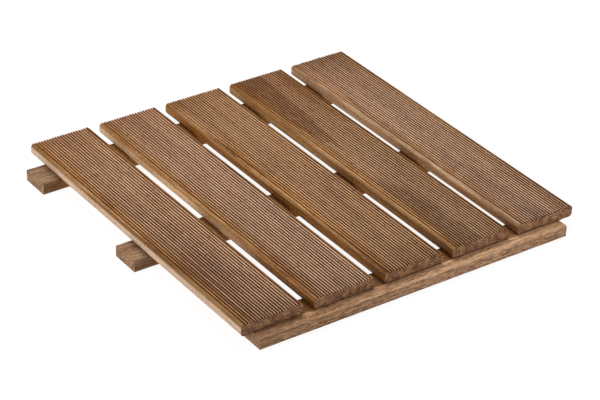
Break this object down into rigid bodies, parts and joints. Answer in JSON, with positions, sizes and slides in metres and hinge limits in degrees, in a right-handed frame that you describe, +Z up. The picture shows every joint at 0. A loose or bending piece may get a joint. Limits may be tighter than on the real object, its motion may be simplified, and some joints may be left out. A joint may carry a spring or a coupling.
{
  "type": "interlocking wooden deck tile",
  "caption": "Square wooden deck tile: finely ribbed slats with open gaps on battens whose ends and front edge reach out under the neighbouring tiles.",
  "frame": {"origin": "on the ground, under the middle of the whole tile with its reaching battens", "axes": "+X across the slats, towards the side where no batten sticks out; +Y along the slats, away from the front batten; +Z up, out of the ribbed face"},
  "size_m": [0.524, 0.515, 0.032],
  "materials": {
    "slat_wood": "oiled brown hardwood with fine machined ribs, bare side faces and sawn ends",
    "batten_wood": "rough-sawn brown hardwood, slightly fuzzy",
    "screw_steel": "plain bright steel, countersunk heads with a cross recess"
  },
  "bodies": {
    "root": {"slat_1": "slat_wood", "slat_2": "slat_wood", "slat_3": "slat_wood", "slat_4": "slat_wood", "slat_5": "slat_wood", "batten_front": "batten_wood", "batten_middle": "batten_wood", "batten_back": "batten_wood", "wood_screws": "screw_steel"}
  },
  "joints": []
}
